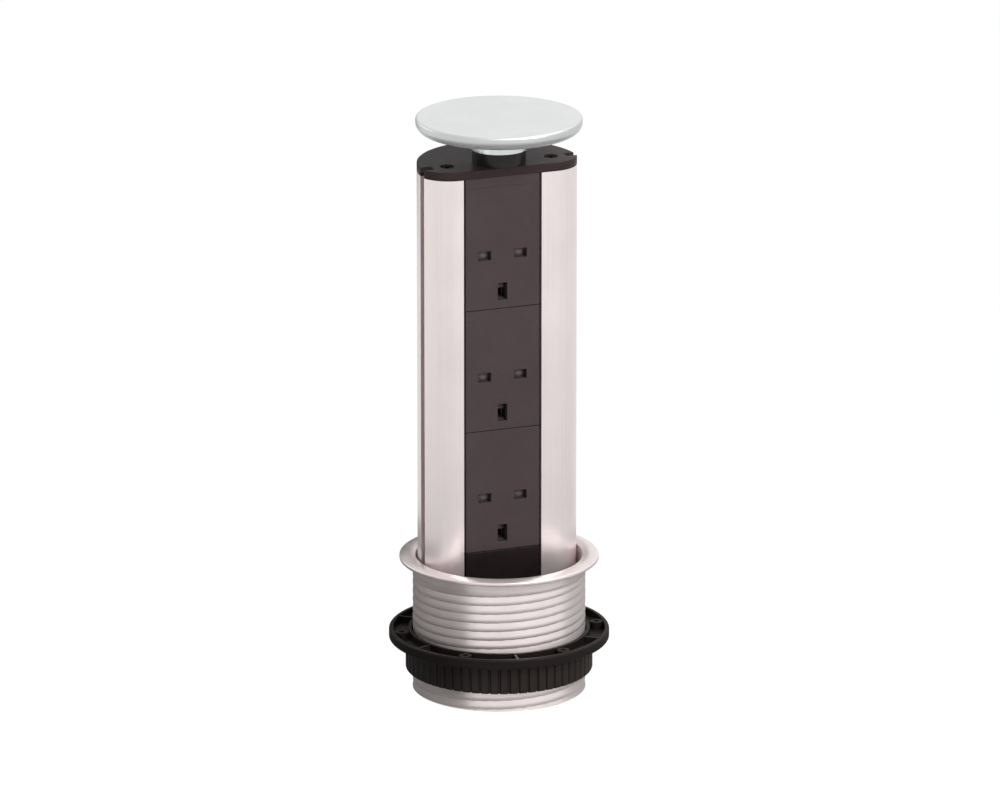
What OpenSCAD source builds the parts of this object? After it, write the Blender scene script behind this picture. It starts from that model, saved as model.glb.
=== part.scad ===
// Pop-up desk socket: a column with three outlets that slides up through a threaded collar,
// which is clamped in a round cut-out of a worktop.
// The worktop's upper face is z = 0, the column slides along z and its outlets face -Y.

/* [Column] */
// Diameter of the round back of the column
column_d = 95.6; // [90:0.2:100]
// Height of the column's top face above the worktop when raised
column_rise = 240.6; // [236:0.2:262]
// Distance from the axis to the flat front of the column
front_flat = 15.4; // [15:0.1:18]
// Radius of the rounded front corners
corner_r = 18.4; // [16:0.2:20]
// Wall of the aluminium extrusion
wall = 2.2; // [1.8:0.1:2.6]
// Width of the guide slot on each side
slot_w = 5.6; // [4.6:0.1:6.6]
// Depth of the guide slots
slot_depth = 6.5; // [5:0.1:7.5]
// Diameter of the screw ports that run through the extrusion
port_d = 8.4; // [7.4:0.1:9]
// Web between a screw port and the guide slot's wall
port_web = 2.7; // [1.5:0.1:3]
// Thickness of the top plate
plate_t = 5; // [4:0.2:6]
// Thickness of the base plate
base_t = 6; // [5:0.2:7]
// Diameter of the end plates' screws
screw_d = 4; // [3:0.1:4.5]

/* [Outlets] */
// Width of the window that the outlets fill
panel_w = 48.4; // [47:0.2:50]
// Sideways offset of the window from the column's axis
panel_shift = -3.6; // [-4:0.1:0]
// Depth of the outlet faces behind the column's front
panel_recess = 0.5; // [0.2:0.1:1]
// Width of the groove between the outlets' raised faces and the window's edges
panel_reveal = 1.3; // [0.4:0.1:1.8]
// Height of one outlet
outlet_pitch = 73.4; // [68:0.1:75]
// Height of the blank strip above the outlets
top_strip_h = 6; // [5:0.2:10]
// Height of the earth slot above the outlet's lower edge
earth_height = 10.2; // [9.4:0.1:11]
// Distance between the two pole slots
pole_pitch = 22.2; // [21.8:0.1:22.6]
// Height of the pole slots above the earth slot
pole_rise = 22.2; // [21.8:0.1:22.6]
// Width of a pole slot
pole_slot_w = 7.9; // [7:0.1:8.2]
// Height of a pole slot
pole_slot_h = 5.5; // [4.6:0.1:5.6]
// Width of the earth slot
earth_slot_w = 5.8; // [5:0.1:6]
// Height of the earth slot
earth_slot_h = 10.3; // [9:0.1:10.5]
// Depth of the channel that holds the outlets' side flanges
channel_d = 2.8; // [2.4:0.1:3.4]
// Thickness of the rails behind that channel
rail_t = 1.8; // [1.4:0.1:2.2]
// Reach of the channel behind the window's edge
channel_reach = 3.1; // [2.6:0.1:3.6]
// Depth of the box behind an outlet's face
back_depth = 20; // [19.6:0.1:22]
// Travel of a safety shutter
shutter_travel = 6.8; // [6.8:0.1:7.4]
// Thickness of a safety shutter
shutter_t = 1.8; // [1.5:0.1:2]
// Gap between the leaves of a contact clip
clip_gap = 4.4; // [4.2:0.1:4.8]
// Sheet thickness of the contact clips
clip_t = 0.8; // [0.6:0.1:1]
// Width of a bus bar
bar_w = 4; // [3:0.2:5]
// Thickness of a bus bar
bar_t = 1.2; // [1:0.1:1.6]

/* [Lid] */
// Thickness of the lid
lid_t = 8.2; // [7.4:0.1:9]
// Rounding radius of the lid's upper edge
lid_top_r = 1.4; // [0.8:0.1:1.8]
// Rounding radius of the lid's lower edge
lid_under_r = 5.2; // [4:0.1:5.2]
// Finger gap between the lid and the top plate
lid_gap = 18.6; // [18:0.1:24]
// Travel of the lid when it is pressed
lid_travel = 7; // [6:0.1:7.4]
// Outer diameter of the neck sleeve under the lid
neck_d = 31.4; // [29:0.2:33]
// Wall of the neck sleeve
neck_wall = 1.8; // [1.4:0.1:2.4]
// Wall of the metal ferrule round the neck
ferrule_wall = 0.5; // [0.5:0.1:1]
// Length of the ferrule below the lid
ferrule_len = 10.5; // [9.5:0.1:11]
// Diameter of the stem that guides the lid
stem_d = 6; // [5:0.2:7]
// Height of the hub that carries the stem
hub_h = 4; // [3.5:0.1:5]
// Mean diameter of the lid's spring
lid_spring_d = 12.8; // [11:0.2:13]
// Wire diameter of the lid's spring
lid_wire_d = 1; // [0.8:0.1:1.2]

/* [Collar] */
// Wall of the guide bush inside the collar
bush_wall = 0.8; // [0.7:0.1:1.6]
// Depth of the guide bush's top below the worktop's face
bush_depth = 10; // [8:0.5:14]
// Length of the guide bush
bush_len = 48; // [46:0.5:56]
// Distance from the bush's upper end to the keys that run in the guide slots
key_from_top = 4; // [2:0.5:8]
// Distance from the keys to the bush's lower end
key_from_foot = 8; // [4:0.5:14]
// Wall of the collar from its bore to the thread's crest
sleeve_wall = 2; // [1.8:0.05:3]
// Length of the collar below the worktop's face
sleeve_len = 78.8; // [74:0.1:90]
// Length of the plain spigot under the rim
spigot_len = 6; // [5:0.1:12]
// Overhang of the rim past the spigot
rim_overhang = 7.5; // [6:0.1:10]
// Thickness of the rim at its crown
rim_t = 3; // [2.6:0.1:4]
// Radius of the rim's crowned top, in section
rim_crown_r = 14; // [10:0.5:20]
// Rounding radius of the rim's outer edge
rim_edge_r = 0.9; // [0.5:0.1:1.1]
// Distance from one thread groove to the next along the collar
thread_pitch = 5.3; // [4.5:0.1:6]
// Number of starts of the collar's thread
thread_starts = 2; // [1:1:3]
// Depth of the thread's grooves
thread_depth = 0.8; // [0.5:0.05:1]
// Width of a thread groove at the crest
thread_groove = 2.6; // [2.2:0.1:3]

/* [Clamp] */
// Worktop thickness that the clamp is set to
worktop_t = 42.7; // [12:0.1:46]
// Radial width of the clamp ring
clamp_w = 13.3; // [12:0.1:16]
// Height of the clamp ring
clamp_h = 5.9; // [5.4:0.1:8]
// Thickness of the clamp ring's outer wall
clamp_wall = 2.5; // [2:0.1:2.8]
// Thickness of the clamp ring's floor
clamp_floor = 1.8; // [1.4:0.1:2.4]
// Diameter of the clamp ring's screw holes
boss_hole_d = 3.5; // [3:0.1:4]
// Wall round a screw hole of the clamp ring
boss_wall = 1.85; // [1.5:0.05:2]
// Number of screw bosses round the clamp ring
boss_count = 6; // [3:1:8]
// Height of the ribbed nut
nut_h = 18.2; // [12:0.1:19]
// Wall of the nut outside the thread's crest
nut_wall = 4; // [3.2:0.1:6]
// Number of ribs round the nut
rib_count = 60; // [36:1:72]
// Height of the nut's ribs
rib_h = 1; // [0.6:0.1:1.4]

/* [Base fittings] */
// Bore of the cable inlet
inlet_d = 9; // [7:0.2:10]
// Diameter of the inlet's threaded neck
inlet_neck_d = 16; // [14:0.2:17]
// Length of the inlet below the base plate
inlet_drop = 13; // [10:0.5:16]
// Width of a friction pad
pad_w = 12; // [8:0.5:14]
// Depth of a friction pad
pad_depth = 3; // [2:0.2:4]

/* [Clearances] */
// Gap between pieces that slide past each other
slide_gap = 0.35; // [0.3:0.01:0.5]
// Gap between fixed pieces that fit into each other
fit_gap = 0.05; // [0.02:0.01:0.1]
// Gap round the outlets in their window and channel
strip_gap = 0.15; // [0.1:0.01:0.25]
// Width of the seam between neighbouring outlets
seam = 0.4; // [0.2:0.05:0.6]
// Radial running gap of the stem in its bore
stem_gap = 0.06; // [0.03:0.01:0.1]
// Gap between the raised column's base plate and the keys that stop it
stop_gap = 0.4; // [0.3:0.05:0.8]
// Radial gap between the lid and the collar's bore
lid_clear = 0.5; // [0.4:0.05:1.2]
// Gap between the collar's thread and the clamp
thread_gap = 0.45; // [0.4:0.05:0.6]

/* [Hidden] */
$fn = 96;

// Colours
aluminium = [0.86, 0.83, 0.83];
lid_silver = [0.88, 0.88, 0.88];
bright_metal = [0.80, 0.82, 0.82];
dark_plastic = [0.31, 0.27, 0.275];
black_plastic = [0.15, 0.135, 0.13];
shutter_grey = [0.42, 0.39, 0.39];
brass = [0.80, 0.66, 0.36];
steel = [0.62, 0.63, 0.65];
rubber = [0.10, 0.10, 0.10];

// Radii that build outwards from the column
column_r = column_d / 2;
bush_in_r = column_r + slide_gap;
bush_out_r = bush_in_r + bush_wall;
bore_r = bush_out_r + fit_gap;
sleeve_r = bore_r + sleeve_wall;
rim_r = sleeve_r + rim_overhang;
clamp_in_r = sleeve_r + thread_gap;
clamp_out_r = clamp_in_r + clamp_w;
nut_r = sleeve_r + nut_wall;
lid_r = bore_r - lid_clear;

// Column outline and its slots
corner_y = corner_r - front_flat;
slot_half = slot_w / 2;
slot_floor = column_r - slot_depth;
lip_x = sqrt(column_r * column_r - slot_half * slot_half) - slide_gap / 2;
corner_x = lip_x - sqrt(corner_r * corner_r - (slot_half + corner_y) * (slot_half + corner_y));
port_x = slot_floor - wall - port_web - port_d / 2;
screw_hole_d = screw_d + 2 * fit_gap;
screw_head_d = screw_d * 1.8;
screw_head_h = screw_d * 0.6;
screw_reach = screw_d * 3;
head_room = 2 * slide_gap;

// Depths in front of the axis, along -Y
face_front = front_flat - panel_recess;
channel_front = front_flat - wall;
channel_back = channel_front - channel_d;
flange_front = channel_front - strip_gap;
face_back = channel_back + strip_gap;
back_rear = face_back - back_depth;
shutter_gap = slide_gap + 0.1;
shutter_front = face_back - shutter_gap;
shutter_back = shutter_front - shutter_t;
recess_floor = shutter_back - slide_gap;

// Heights
bush_bottom = -bush_depth - bush_len;
key_top = -bush_depth - key_from_top;
key_bottom = bush_bottom + key_from_foot;
base_top = key_bottom - stop_gap;
base_bottom = base_top - base_t;
plate_bottom = column_rise - plate_t;
stack_top = plate_bottom - top_strip_h;
stack_bottom = stack_top - 3 * outlet_pitch;
function outlet_z(n) = stack_top - n * outlet_pitch;
function earth_z(n) = outlet_z(n) + earth_height;
function pole_z(n) = earth_z(n) + pole_rise;

// Widths across the panel
window_half = panel_w / 2;
face_half = window_half - panel_reveal;
channel_half = window_half + channel_reach;
flange_half = channel_half - 2 * strip_gap;
rail_inner = window_half - 2;
back_half = rail_inner - 2 * slide_gap;
pole_x = pole_pitch / 2;

// Thread
thread_sides = 48;
crest_r = sleeve_r - fit_gap;
thread_start = -spigot_len - thread_groove;
thread_lead = thread_pitch * thread_starts;
thread_turn = -111.5;
clamp_top = -worktop_t;
nut_top = clamp_top - clamp_h - 2 * fit_gap;
boss_turn = -11;
boss_d = boss_hole_d + 2 * boss_wall;
boss_r = (clamp_in_r + clamp_wall + clamp_out_r - clamp_wall) / 2;
rib_t = 1.6;

// Shutter and contact layout
shutter_half = pole_x + pole_slot_w / 2 + 1.5;
shutter_cover = pole_slot_h / 2 + 1.2;
shutter_window_h = pole_slot_h + 0.9;
shutter_web = 1.6;
tongue_half = earth_slot_w / 2 - 0.4;
tongue_clear = 1.2;
spring_len = shutter_travel + 7.2;
spring_turns = 6;
spring_r = 1.6;
spring_wire_r = 0.35;
recess_top_gap = 0.3;
back_over = shutter_cover + spring_len + recess_top_gap + 1.6;
back_under = 1.5;
clip_half = 3.6;
clip_depth = 16;
clip_mouth = recess_floor - 1.4;
earth_clip_half = 4.2;
earth_clip_depth = 15;
pocket_gap = 0.5;
tab_half = 1.5;
bar_front = back_rear - fit_gap;
bar_over = 4;

// Terminal block
leg_h = 9;
leg_w = 5;
block_h = 22;
block_wall = 5;
block_over = 7;
bar_depth = 14;
block_bottom = base_top + leg_h;
block_top = block_bottom + block_h;
block_half = pole_x + block_over;
block_front = bar_front + block_wall;
block_rear = bar_front - bar_t - block_wall;
bar_seat = block_top - bar_depth;
clamp_screw_d = 3.6;
clamp_screw_len = 4;
wire_hole_d = 4.4;

// Lid
lid_bottom = column_rise + lid_gap;
neck_r = neck_d / 2;
neck_top = lid_bottom - lid_travel - 0.5;
cup_r = neck_r - neck_wall;
cup_floor = column_rise + 2;
hub_r = cup_r - slide_gap;
hub_bottom = lid_bottom - hub_h;
ferrule_in_r = neck_r + slide_gap;
spigot_r = 9;
spigot_drop = 2.6;
spigot_lip = 0.6;
spigot_bottom = plate_bottom - spigot_drop;
clip_h = 1;
stem_bottom = spigot_bottom - 3;
groove_depth = 0.6;
hub_screw_r = 10.6;
hub_screw_d = 2.6;
lid_spring_turns = 5;

// A block given by its ranges in x, in depth in front of the axis and in height
module slab(x, f, z) {
    translate([x[0], -f[1], z[0]])
        cube([x[1] - x[0], f[1] - f[0], z[1] - z[0]]);
}

// Both sides of the column
module both_sides() {
    children();
    mirror([1, 0, 0])
        children();
}

// A solid rod with V grooves round it, on a sheared grid that follows the helix
module thread_rod(crest_r, root_r, groove, low, high) {
    step = 3;
    turns = ceil((high - low) / thread_pitch) + 2 * thread_starts;
    levels = turns * step;
    first = thread_start - thread_pitch * ceil((thread_start - low) / thread_pitch + thread_starts);
    shift = step * thread_starts;
    offsets = [-groove / 2, 0, groove / 2];
    radii = [crest_r, root_r, crest_r];
    function grid_z(k, l) = first + thread_pitch * floor(l / step) + offsets[l % step]
        + thread_lead * k / thread_sides;
    function grid_point(k, l) = [
        radii[l % step] * cos(thread_turn + 360 * k / thread_sides),
        radii[l % step] * sin(thread_turn + 360 * k / thread_sides),
        grid_z(k, l)
    ];
    function at(k, l) = k == thread_sides ? l + shift
        : k == 0 ? l : levels + shift + 1 + (k - 1) * (levels + 1) + l;
    points = concat(
        [for (l = [0:levels + shift]) grid_point(0, l)],
        [for (k = [1:thread_sides - 1]) for (l = [0:levels]) grid_point(k, l)],
        [[0, 0, first], [0, 0, first + thread_pitch * turns + thread_lead]]
    );
    foot = len(points) - 2;
    head = len(points) - 1;
    sides = [
        for (k = [0:thread_sides - 1]) for (l = [0:levels - 1]) each [
            [at(k, l), at(k, l + 1), at(k + 1, l + 1)],
            [at(k, l), at(k + 1, l + 1), at(k + 1, l)]
        ]
    ];
    ends = [
        for (k = [0:thread_sides - 1]) each [
            [foot, at(k, 0), at(k + 1, 0)],
            [head, at(k + 1, levels), at(k, levels)]
        ]
    ];
    seams = [
        for (l = [0:shift - 1]) each [
            [foot, at(0, l + 1), at(0, l)],
            [head, at(0, levels + l), at(0, levels + l + 1)]
        ]
    ];
    polyhedron(points, concat(sides, ends, seams), convexity = 10);
}

// A coil of round wire that climbs from low to high about the z axis
module coil(mean_r, wire_r, low, high, turns) {
    sides = 6;
    per_turn = 8;
    rings = turns * per_turn;
    climb = high - low - 2 * wire_r;
    points = [
        for (i = [0:rings]) for (j = [0:sides - 1])
            let (turn = 360 * i / per_turn, r = mean_r + wire_r * cos(360 * j / sides))
            [r * cos(turn), r * sin(turn),
             low + wire_r + climb * i / rings + wire_r * sin(360 * j / sides)]
    ];
    walls = [
        for (i = [0:rings - 1]) for (j = [0:sides - 1])
            let (a = i * sides + j, b = i * sides + (j + 1) % sides)
            each [[a, b, b + sides], [a, b + sides, a + sides]]
    ];
    caps = [
        for (j = [1:sides - 2]) each [
            [0, j + 1, j],
            [rings * sides, rings * sides + j, rings * sides + j + 1]
        ]
    ];
    polyhedron(points, concat(walls, caps), convexity = 8);
}

// A cap screw along z with a hexagon socket, seated at z = 0 with its shank below
module cap_screw(d, length) {
    difference() {
        union() {
            cylinder(d = d * 1.8, h = d * 0.6);
            translate([0, 0, -length])
                cylinder(d = d, h = length + fit_gap);
        }
        translate([0, 0, d * 0.25])
            cylinder(d = d * 0.9, h = d, $fn = 6);
    }
}

// Outline of the column seen from above, drawn in by inset
module column_outline(inset = 0) {
    intersection() {
        circle(r = column_r - inset);
        union() {
            translate([-column_d, 0])
                square([2 * column_d, column_d]);
            both_sides()
                translate([corner_x, corner_y])
                    circle(r = corner_r - inset);
            translate([-corner_x, inset - front_flat])
                square([2 * corner_x, front_flat]);
        }
    }
}

// The two guide slots, seen from above
module guide_slots() {
    both_sides()
        translate([slot_floor, -slot_half])
            square([column_d, slot_w]);
}

// Hollow of the extrusion, which leaves the slot walls, the screw ports and the rails
module column_hollow() {
    difference() {
        column_outline(wall);
        both_sides() {
            translate([slot_floor - wall, -slot_half - wall])
                square([column_d, slot_w + 2 * wall]);
            translate([port_x, 0])
                circle(d = port_d);
            translate([port_x, -wall / 2])
                square([slot_floor - port_x, wall]);
        }
        translate([panel_shift, 0])
            both_sides()
                translate([rail_inner, -channel_front - fit_gap])
                    square([channel_half + wall - rail_inner, channel_d + rail_t + fit_gap]);
    }
}

// Section of the collar's crowned rim, with the worktop's face at its foot
module rim_section() {
    intersection() {
        translate([(bore_r + rim_r) / 2, rim_t - rim_crown_r])
            circle(r = rim_crown_r, $fn = 180);
        union() {
            translate([bore_r, 0])
                square([rim_r - rim_edge_r - bore_r, rim_t]);
            translate([rim_r - rim_edge_r, rim_edge_r])
                square([rim_edge_r, rim_t]);
            translate([rim_r - rim_edge_r, rim_edge_r])
                circle(r = rim_edge_r);
        }
    }
}

module collar() {
    color(aluminium)
        difference() {
            union() {
                rotate_extrude($fn = 180)
                    rim_section();
                translate([0, 0, -spigot_len])
                    cylinder(r = sleeve_r, h = spigot_len + fit_gap, $fn = 180);
                intersection() {
                    thread_rod(crest_r, crest_r - thread_depth, thread_groove, -sleeve_len, -spigot_len);
                    translate([0, 0, -sleeve_len])
                        cylinder(r = rim_r, h = sleeve_len - spigot_len + 1);
                }
            }
            translate([0, 0, bush_bottom])
                cylinder(r = bore_r, h = sleeve_len + rim_t - bush_bottom, $fn = 180);
            translate([0, 0, -sleeve_len - 1])
                cylinder(r = bush_in_r + bush_wall / 2, h = sleeve_len, $fn = 180);
        }
}

module guide_bush() {
    color(black_plastic) {
        translate([0, 0, bush_bottom])
            difference() {
                cylinder(r = bush_out_r, h = bush_len, $fn = 180);
                translate([0, 0, -1])
                    cylinder(r = bush_in_r, h = bush_len + 2, $fn = 180);
            }
        both_sides()
            slab(
                [slot_floor + 2 * slide_gap, bush_in_r + bush_wall / 2],
                [-slot_half + slide_gap, slot_half - slide_gap],
                [key_bottom, key_top]
            );
    }
}

// Section of the clamp ring: a floor between an inner and a rounded outer wall
module clamp_section() {
    edge = 1;
    translate([clamp_in_r, 0])
        square([clamp_w - edge, clamp_floor]);
    translate([clamp_in_r, 0])
        square([clamp_wall - 0.7, clamp_h]);
    translate([clamp_out_r - clamp_wall, 0])
        square([clamp_wall - edge, clamp_h]);
    translate([clamp_out_r - edge, edge])
        square([edge, clamp_h - 2 * edge]);
    for (z = [edge, clamp_h - edge])
        translate([clamp_out_r - edge, z])
            circle(r = edge);
}

module clamp_ring() {
    rib_in = clamp_in_r + clamp_wall - 0.9;
    rib_out = clamp_out_r - clamp_wall + 0.2;
    color(black_plastic)
        translate([0, 0, clamp_top - clamp_h])
            difference() {
                union() {
                    rotate_extrude($fn = 180)
                        clamp_section();
                    for (i = [0:2 * boss_count - 1])
                        rotate(boss_turn + 180 * i / boss_count)
                            translate([rib_in, -rib_t / 2, clamp_floor / 2])
                                cube([rib_out - rib_in, rib_t, clamp_h - clamp_floor / 2 - 0.3]);
                    for (i = [0:boss_count - 1])
                        rotate(boss_turn + 360 * i / boss_count)
                            translate([boss_r, 0, 0])
                                cylinder(d = boss_d, h = clamp_h, $fn = 48);
                }
                for (i = [0:boss_count - 1])
                    rotate(boss_turn + 360 * i / boss_count)
                        translate([boss_r, 0, -1])
                            cylinder(d = boss_hole_d, h = clamp_h + 2, $fn = 48);
            }
}

module clamp_nut() {
    step = 360 / rib_count;
    root_r = nut_r - rib_h;
    corners = [[-0.30, nut_r], [0.30, nut_r], [0.40, root_r], [0.60, root_r]];
    outline = [
        for (i = [0:rib_count - 1]) for (corner = corners)
            [corner[1] * cos(step * (i + corner[0])), corner[1] * sin(step * (i + corner[0]))]
    ];
    color(black_plastic)
        difference() {
            translate([0, 0, nut_top - nut_h])
                linear_extrude(nut_h)
                    polygon(outline);
            thread_rod(
                crest_r + thread_gap,
                crest_r - thread_depth + thread_gap,
                thread_groove - 2 * thread_gap,
                nut_top - nut_h - 1,
                nut_top + 1
            );
        }
}

module column_profile() {
    color(aluminium)
        translate([0, 0, base_top])
            linear_extrude(plate_bottom - base_top)
                difference() {
                    column_outline();
                    column_hollow();
                    guide_slots();
                    both_sides()
                        translate([port_x, 0])
                            circle(d = screw_hole_d, $fn = 48);
                    translate([panel_shift - window_half, -front_flat - 1])
                        square([panel_w, wall + 1 + fit_gap]);
                    translate([panel_shift - channel_half, -channel_front])
                        square([2 * channel_half, channel_d]);
                }
}

module top_plate() {
    color(dark_plastic)
        difference() {
            translate([0, 0, plate_bottom])
                linear_extrude(plate_t)
                    difference() {
                        column_outline();
                        guide_slots();
                        circle(r = spigot_r + fit_gap);
                    }
            both_sides()
                translate([port_x, 0, plate_bottom]) {
                    translate([0, 0, -1])
                        cylinder(d = screw_hole_d, h = plate_t + 2, $fn = 48);
                    translate([0, 0, plate_t - screw_head_h - head_room])
                        cylinder(d = screw_head_d + head_room, h = plate_t, $fn = 48);
                }
        }
}

module top_screws() {
    color(black_plastic)
        both_sides()
            translate([port_x, 0, column_rise - screw_head_h - head_room])
                cap_screw(screw_d, screw_reach);
}

// The friction pads' seats, drawn out by gap
module pad_seats(outer, gap) {
    for (turn = [50, 130])
        rotate(turn)
            translate([column_r - pad_depth - gap, -pad_w / 2 - gap, base_bottom + 1 - gap])
                cube([outer, pad_w + 2 * gap, base_t - 2 + 2 * gap]);
}

module base_plate() {
    color(black_plastic)
        difference() {
            translate([0, 0, base_bottom])
                linear_extrude(base_t)
                    difference() {
                        column_outline();
                        circle(d = inlet_neck_d + 2 * fit_gap);
                    }
            both_sides()
                translate([port_x, 0, base_bottom - 1]) {
                    cylinder(d = screw_hole_d, h = base_t + 2, $fn = 48);
                    cylinder(d = screw_head_d + head_room, h = 1 + screw_head_h + head_room, $fn = 48);
                }
            pad_seats(column_r, fit_gap);
        }
}

module base_screws() {
    color(steel)
        both_sides()
            translate([port_x, 0, base_bottom + screw_head_h + head_room])
                rotate([180, 0, 0])
                    cap_screw(screw_d, screw_reach);
}

module friction_pads() {
    color(rubber)
        intersection() {
            pad_seats(column_r, 0);
            translate([0, 0, base_bottom])
                cylinder(r = column_r + fit_gap, h = base_t, $fn = 180);
        }
}

module cable_gland() {
    flange_h = 4;
    color(black_plastic)
        difference() {
            union() {
                translate([0, 0, base_bottom - flange_h])
                    cylinder(d = inlet_neck_d + 8, h = flange_h, $fn = 6);
                translate([0, 0, base_bottom - inlet_drop])
                    cylinder(d = inlet_neck_d + 2, h = inlet_drop - flange_h + fit_gap);
                translate([0, 0, base_bottom - fit_gap])
                    cylinder(d = inlet_neck_d, h = base_t + 7);
            }
            translate([0, 0, base_bottom - inlet_drop - 1])
                cylinder(d = inlet_d, h = inlet_drop + base_t + 9);
        }
}

module gland_nut() {
    color(black_plastic)
        translate([0, 0, base_top])
            difference() {
                cylinder(d = inlet_neck_d + 6, h = 5, $fn = 6);
                translate([0, 0, -1])
                    cylinder(d = inlet_neck_d + 2 * fit_gap, h = 7);
            }
}

// A length of the front panel: its face in the window and its flanges in the channel
module panel_strip(z) {
    translate([panel_shift, 0, 0]) {
        slab([-face_half, face_half], [face_back, face_front], z);
        slab([-flange_half, flange_half], [face_back, flange_front], z);
    }
}

module top_strip() {
    color(dark_plastic)
        panel_strip([stack_top + seam / 2, plate_bottom]);
}

module bottom_strip() {
    color(black_plastic)
        panel_strip([base_top, stack_bottom - seam / 2]);
}

module socket_face(n) {
    through = [face_back - 1, face_front + 1];
    color(dark_plastic)
        difference() {
            panel_strip([outlet_z(n) + seam / 2, outlet_z(n) + outlet_pitch - seam / 2]);
            translate([panel_shift, 0, 0]) {
                both_sides()
                    slab(
                        [pole_x - pole_slot_w / 2, pole_x + pole_slot_w / 2],
                        through,
                        [pole_z(n) - pole_slot_h / 2, pole_z(n) + pole_slot_h / 2]
                    );
                slab(
                    [-earth_slot_w / 2, earth_slot_w / 2],
                    through,
                    [earth_z(n) - earth_slot_h / 2, earth_z(n) + earth_slot_h / 2]
                );
            }
        }
}

module socket_back(n) {
    open = face_back + 1;
    recess_top = pole_z(n) + shutter_cover + spring_len + recess_top_gap;
    spring_f = face_back - spring_r - spring_wire_r - fit_gap;
    clip_out = clip_gap / 2 + clip_t + pocket_gap;
    color(black_plastic)
        translate([panel_shift, 0, 0])
            difference() {
                slab(
                    [-back_half, back_half],
                    [back_rear, face_back - fit_gap],
                    [outlet_z(n) + back_under, pole_z(n) + back_over]
                );
                // room for the shutter, its tongue and its spring
                slab(
                    [-shutter_half - slide_gap, shutter_half + slide_gap],
                    [recess_floor, open],
                    [pole_z(n) - shutter_cover - shutter_window_h - shutter_web - slide_gap, recess_top]
                );
                slab(
                    [-tongue_half - slide_gap, tongue_half + slide_gap],
                    [recess_floor, open],
                    [earth_z(n), pole_z(n)]
                );
                slab(
                    [-spring_r - spring_wire_r - slide_gap, spring_r + spring_wire_r + slide_gap],
                    [spring_f - spring_r - spring_wire_r - slide_gap, open],
                    [pole_z(n) + shutter_cover - slide_gap, recess_top]
                );
                // pockets for the contact clips, and slots for their tabs
                both_sides() {
                    slab(
                        [pole_x - clip_half - pocket_gap, pole_x + clip_half + pocket_gap],
                        [clip_mouth - clip_depth + fit_gap, open],
                        [pole_z(n) - clip_out, pole_z(n) + clip_out]
                    );
                    slab(
                        [pole_x - tab_half - pocket_gap, pole_x + tab_half + pocket_gap],
                        [back_rear - 1, 0],
                        [pole_z(n) - clip_t, pole_z(n) + clip_t]
                    );
                }
                slab(
                    [-clip_out, clip_out],
                    [clip_mouth - earth_clip_depth - clip_t, open],
                    [earth_z(n) - earth_clip_half - pocket_gap, earth_z(n) + earth_clip_half + pocket_gap]
                );
                slab(
                    [-clip_t, clip_t],
                    [back_rear - 1, 0],
                    [earth_z(n) - tab_half - pocket_gap, earth_z(n) + tab_half + pocket_gap]
                );
            }
}

// A clip of two leaves and a web about the origin, open to the front, with a tab to its bus bar
module contact_clip(half, depth) {
    rear = clip_mouth - depth;
    out = clip_gap / 2 + clip_t;
    for (low = [clip_gap / 2, -out])
        slab([-half, half], [rear, clip_mouth], [low, low + clip_t]);
    slab([-half, half], [rear, rear + clip_t], [-out, out]);
    slab([-tab_half, tab_half], [bar_front, rear + clip_t], [-clip_t / 2, clip_t / 2]);
}

module contacts(n) {
    color(brass)
        translate([panel_shift, 0, 0]) {
            both_sides()
                translate([pole_x, 0, pole_z(n)])
                    contact_clip(clip_half, clip_depth - clip_t);
            translate([0, 0, earth_z(n)])
                rotate([0, 90, 0])
                    contact_clip(earth_clip_half, earth_clip_depth);
        }
}

module shutter(n) {
    low = pole_z(n) - shutter_cover - shutter_window_h - shutter_web;
    window_z = pole_z(n) - shutter_cover - shutter_window_h;
    tongue_low = earth_z(n) + tongue_clear;
    depth = [shutter_back, shutter_front];
    color(shutter_grey)
        translate([panel_shift, 0, 0])
            difference() {
                union() {
                    slab([-shutter_half, shutter_half], depth, [low, pole_z(n) + shutter_cover]);
                    slab([-tongue_half, tongue_half], depth, [tongue_low, low + fit_gap]);
                }
                both_sides()
                    slab(
                        [pole_x - pole_slot_w / 2 - 0.4, pole_x + pole_slot_w / 2 + 0.4],
                        [shutter_back - 1, shutter_front + 1],
                        [window_z, window_z + shutter_window_h]
                    );
                // ramp that the earth pin pushes up
                translate([0, -shutter_front, tongue_low])
                    rotate([-45, 0, 0])
                        translate([-tongue_half - 1, -shutter_t, -shutter_t])
                            cube([2 * tongue_half + 2, 3 * shutter_t, shutter_t]);
            }
}

module shutter_spring(n) {
    spring_f = face_back - spring_r - spring_wire_r - fit_gap;
    low = pole_z(n) + shutter_cover;
    color(steel)
        translate([panel_shift, -spring_f, 0])
            coil(spring_r, spring_wire_r, low + fit_gap, low + spring_len, spring_turns);
}

// A bus bar behind the outlets, from the terminal block up to the first outlet
module bus_bar(x, top) {
    color(brass)
        translate([panel_shift, 0, 0])
            slab([x - bar_w / 2, x + bar_w / 2], [bar_front - bar_t, bar_front], [bar_seat, top]);
}

module live_bar() {
    bus_bar(-pole_x, pole_z(1) + bar_over);
}

module neutral_bar() {
    bus_bar(pole_x, pole_z(1) + bar_over);
}

module earth_bar() {
    bus_bar(0, earth_z(1) + bar_over);
}

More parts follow.
